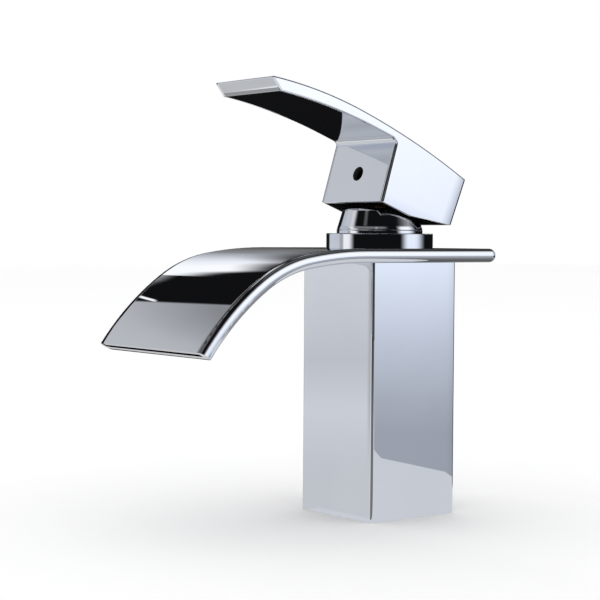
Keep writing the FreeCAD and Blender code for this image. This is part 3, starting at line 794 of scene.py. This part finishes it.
# %% [markdown]
# Outside, the handle is polished and plated. Its long edges are crisp and end in thin dark outlines.
# Some edges belong to one face only: the front edge stops under the lever, the top edge shows on the two sides,
# and the tip's edge stays on the tip. Masks keep each roll on its own face, so none leaks on to the next.

# %% Handle edges
HANDLE_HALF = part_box("handle")[1][0]
HANDLE_FOOT = 124.5 * MM
BACK_FOOT = (20.4 * MM, 128.8 * MM)
BACK_LEAN = 0.0524
FRONT_FOOT = 19.1 * MM
FRONT_LEAN = 0.045
FRONT_TOP = 151.2 * MM
TOP_APEX = (-41.0 * MM, 155.1 * MM)
TOP_RADII = (207.5 * MM, 371.2 * MM)
TIP_TOP = (-87.6 * MM, 149.8 * MM)
TIP_WAY = (0.849, -0.529)
TIP_LENGTH = 7.2 * MM

SIDE_ROLL = (HANDLE_HALF, 1.5 * MM, 62.0)
BACK_ROLL = (BACK_FOOT[0], 6 * MM, 6.5)
BACK_LINE = (BACK_FOOT[0], 0.9 * MM, 40.0)
FOOT_ROLL = (-HANDLE_FOOT, 5 * MM, 1.5)
FRONT_ROLL = (FRONT_FOOT, 1.4 * MM, 50.0)
TOP_ROLL = (-0.1 * MM, 0.7 * MM, 40.0)
TIP_ROLL = (TIP_LENGTH, 2.9 * MM, 20.0)

ON_SIDE = (HANDLE_HALF - 0.1 * MM, HANDLE_HALF - 0.5 * MM)
OFF_SIDE = (HANDLE_HALF - 1.2 * MM, HANDLE_HALF - 0.2 * MM)
BELOW_LEVER = (FRONT_TOP - 2.5 * MM, FRONT_TOP - 0.5 * MM)
ON_BLOCK = (-FRONT_FOOT - 1.3 * MM, -FRONT_FOOT - 1.8 * MM)
NEAR_BLOCK = (-30 * MM, -78 * MM)
UNDER_TOP = (-3.2 * MM, -1.5 * MM)
OFF_TOP = (-1.8 * MM, -0.8 * MM)


def front_edge(tree, side, depth, y, z):
    line = rolled(tree, along(tree, y, z, (-1.0, -FRONT_LEAN), (0.0, HANDLE_FOOT)), *FRONT_ROLL)
    on_front = maths(tree, "MULTIPLY", share(tree, z, *BELOW_LEVER), share(tree, y, *ON_BLOCK))
    lost = maths(tree, "MULTIPLY", side, maths(tree, "SUBTRACT", 1.0, on_front))
    return all_of(tree, [line, share(tree, depth, *UNDER_TOP), share(tree, y, *NEAR_BLOCK),
                         maths(tree, "SUBTRACT", 1.0, lost)])


def past_top(tree, y, z):
    fore = maths(tree, "SUBTRACT", y, TOP_APEX[0])
    front_radius, back_radius = TOP_RADII
    change = maths(tree, "MULTIPLY", less(tree, fore, 0.0), front_radius - back_radius)
    radius = maths(tree, "ADD", change, back_radius)
    up = maths(tree, "ADD", maths(tree, "SUBTRACT", z, TOP_APEX[1]), radius)
    return maths(tree, "SUBTRACT", distance(tree, fore, up), radius)


def handle_edges(tree, x, y, z):
    aside = maths(tree, "ABSOLUTE", x)
    side = share(tree, aside, *ON_SIDE)
    depth = past_top(tree, y, z)
    behind = along(tree, y, z, (1.0, -BACK_LEAN), (0.0, BACK_FOOT[1]))
    top = maths(tree, "MULTIPLY", rolled(tree, depth, *TOP_ROLL), side)
    tip = rolled(tree, along(tree, y, z, TIP_WAY, TIP_TOP), *TIP_ROLL)
    on_tip = all_of(tree, [share(tree, aside, *OFF_SIDE), share(tree, depth, *OFF_TOP)])
    return [rolled(tree, aside, *SIDE_ROLL), rolled(tree, behind, *BACK_ROLL), rolled(tree, behind, *BACK_LINE),
            rolled(tree, opposite(tree, z), *FOOT_ROLL), front_edge(tree, side, depth, y, z), top,
            maths(tree, "MULTIPLY", tip, on_tip)]


print("handle", round(2 * HANDLE_HALF / MM, 1), "mm wide, lever", round(-TIP_TOP[0] / MM, 1), "mm forward")

# %% [markdown]
# The handle's finish joins the two: chrome with its rolled edges outside, and inside the dull skin, painted near black
# as painted shade.

# %% Handle chrome
def handle_chrome():
    made = chrome_plate("handle_chrome")
    tree = made.node_tree
    axes = piece_axes(tree, True)
    add_relief(tree, handle_edges(tree, *axes))
    dull_skin_and_painted_shade_where(tree, maths(tree, "MAXIMUM", cavity(tree, *axes), key_hole(tree, *axes)))
    return made


HANDLE_CHROME = handle_chrome()
print("handle chrome has", len(HANDLE_CHROME.node_tree.nodes), "nodes")

# %% [markdown]
# Each piece of the frame takes the finish of its material slot. The large chrome pieces take their own chrome,
# and the small set screw is blackened steel.

# %% Finishes on the pieces
slot_finishes = {"chrome": CHROME, "brass": BRASS, "steel": STEEL,
                 "plastic": PLASTIC, "ceramic": CERAMIC, "rubber": RUBBER}
own_finishes = {"body_column": COLUMN_CHROME, "spout_upper_shell": SPOUT_CHROME, "spout_lower_shell": LIP_CHROME,
                "dome_cover": CAP_CHROME, "handle": HANDLE_CHROME, "set_screw": BLACK_STEEL}
for subpart in frame["record"]["subparts"]:
    piece = frame["nodes"][subpart["node"]]
    made = own_finishes.get(subpart["node"], slot_finishes[subpart["material_slot"]])
    for slot in piece.material_slots:
        slot.material = made
print(len(frame["nodes"]), "pieces finished")
